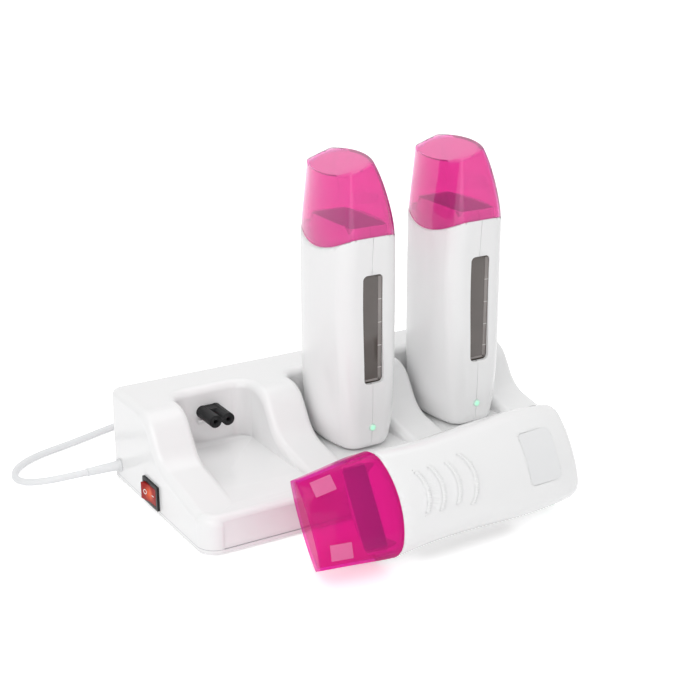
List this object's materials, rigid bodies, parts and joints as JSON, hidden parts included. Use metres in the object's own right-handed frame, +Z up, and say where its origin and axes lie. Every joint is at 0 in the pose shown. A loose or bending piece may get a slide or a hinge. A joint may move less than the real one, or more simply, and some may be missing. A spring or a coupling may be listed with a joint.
{
  "type": "roll on wax heater",
  "caption": "Mains base with docking bays on plug connectors, holding upright roll-on wax cartridge heaters with clear slanted caps; one heater lies in front.",
  "frame": {"origin": "on the floor, under the centre of the base, at the underside of its centre foot", "axes": "+X along the base from the switch end to the other, +Y from the bays' open front to the back, +Z up"},
  "size_m": [0.3193, 0.2814, 0.2026],
  "materials": {
    "white_plastic": "glossy cool white",
    "plate_white": "satin white",
    "pink_cap": "clear tinted pink, glossy",
    "well_aluminium": "plain",
    "heater_ceramic": "ceramic",
    "bright_metal": "bright",
    "board_green": "circuit board",
    "smoke_window": "smoked clear",
    "lamp_green": "lit lens",
    "black_plastic": "satin black",
    "rocker_red": "lit red",
    "cord_white": "soft white",
    "foot_rubber": "grey rubber",
    "terminal_cream": "plain"
  },
  "bodies": {
    "base": {"base_housing": "white_plastic", "base_bottom": "white_plastic", "base_feet": "foot_rubber", "base_screws": "bright_metal", "bay_connector_1": "black_plastic", "bay_connector_2": "black_plastic", "bay_connector_3": "black_plastic", "power_board": "board_green", "terminal_block": "terminal_cream", "switch_bezel": "black_plastic", "strain_relief": "cord_white", "mains_cord": "cord_white", "cord_tail": "cord_white", "cord_coil": "cord_white", "mains_plug": "cord_white", "plug_pins": "bright_metal"},
    "switch": {"switch_rocker": "rocker_red"},
    "heater_1": {"heater_1_shell_front": "white_plastic", "heater_1_shell_back": "white_plastic", "heater_1_wax_well": "well_aluminium", "heater_1_heater_plate": "heater_ceramic", "heater_1_thermostat": "bright_metal", "heater_1_circuit_board": "board_green", "heater_1_window": "smoke_window", "heater_1_lamp": "lamp_green", "heater_1_inlet": "black_plastic", "heater_1_inlet_pins": "bright_metal", "heater_1_rating_plate": "plate_white", "heater_1_shell_screws": "bright_metal"},
    "cap_1": {"heater_1_cap": "pink_cap"},
    "heater_2": {"heater_2_shell_front": "white_plastic", "heater_2_shell_back": "white_plastic", "heater_2_wax_well": "well_aluminium", "heater_2_heater_plate": "heater_ceramic", "heater_2_thermostat": "bright_metal", "heater_2_circuit_board": "board_green", "heater_2_window": "smoke_window", "heater_2_lamp": "lamp_green", "heater_2_inlet": "black_plastic", "heater_2_inlet_pins": "bright_metal", "heater_2_rating_plate": "plate_white", "heater_2_shell_screws": "bright_metal"},
    "cap_2": {"heater_2_cap": "pink_cap"},
    "heater_3": {"heater_3_shell_front": "white_plastic", "heater_3_shell_back": "white_plastic", "heater_3_wax_well": "well_aluminium", "heater_3_heater_plate": "heater_ceramic", "heater_3_thermostat": "bright_metal", "heater_3_circuit_board": "board_green", "heater_3_window": "smoke_window", "heater_3_lamp": "lamp_green", "heater_3_inlet": "black_plastic", "heater_3_inlet_pins": "bright_metal", "heater_3_rating_plate": "plate_white", "heater_3_shell_screws": "bright_metal"},
    "cap_3": {"heater_3_cap": "pink_cap"}
  },
  "joints": [
    {"name": "switch_rock", "type": "hinge", "parent": "base", "child": "switch", "pos_m": [-0.1304, 0.0052, 0.0117], "axis": [0, 0, 1], "range_deg": [-18, 0]},
    {"name": "heater_1_slide", "type": "slide", "parent": "base", "child": "heater_1", "axis": [0, -1, 0], "range_m": [0, 0.1]},
    {"name": "heater_2_unplug", "type": "slide", "parent": "base", "child": "heater_2", "axis": [0, -1, 0], "range_m": [0, 0.022]},
    {"name": "heater_3_unplug", "type": "slide", "parent": "base", "child": "heater_3", "axis": [0, -1, 0], "range_m": [0, 0.022]},
    {"name": "cap_1_off", "type": "slide", "parent": "heater_1", "child": "cap_1", "axis": [-0.9981, -0.061, 0], "range_m": [0, 0.06]},
    {"name": "cap_2_off", "type": "slide", "parent": "heater_2", "child": "cap_2", "axis": [0, 0, 1], "range_m": [0, 0.06]},
    {"name": "cap_3_off", "type": "slide", "parent": "heater_3", "child": "cap_3", "axis": [0, 0, 1], "range_m": [0, 0.06]}
  ]
}
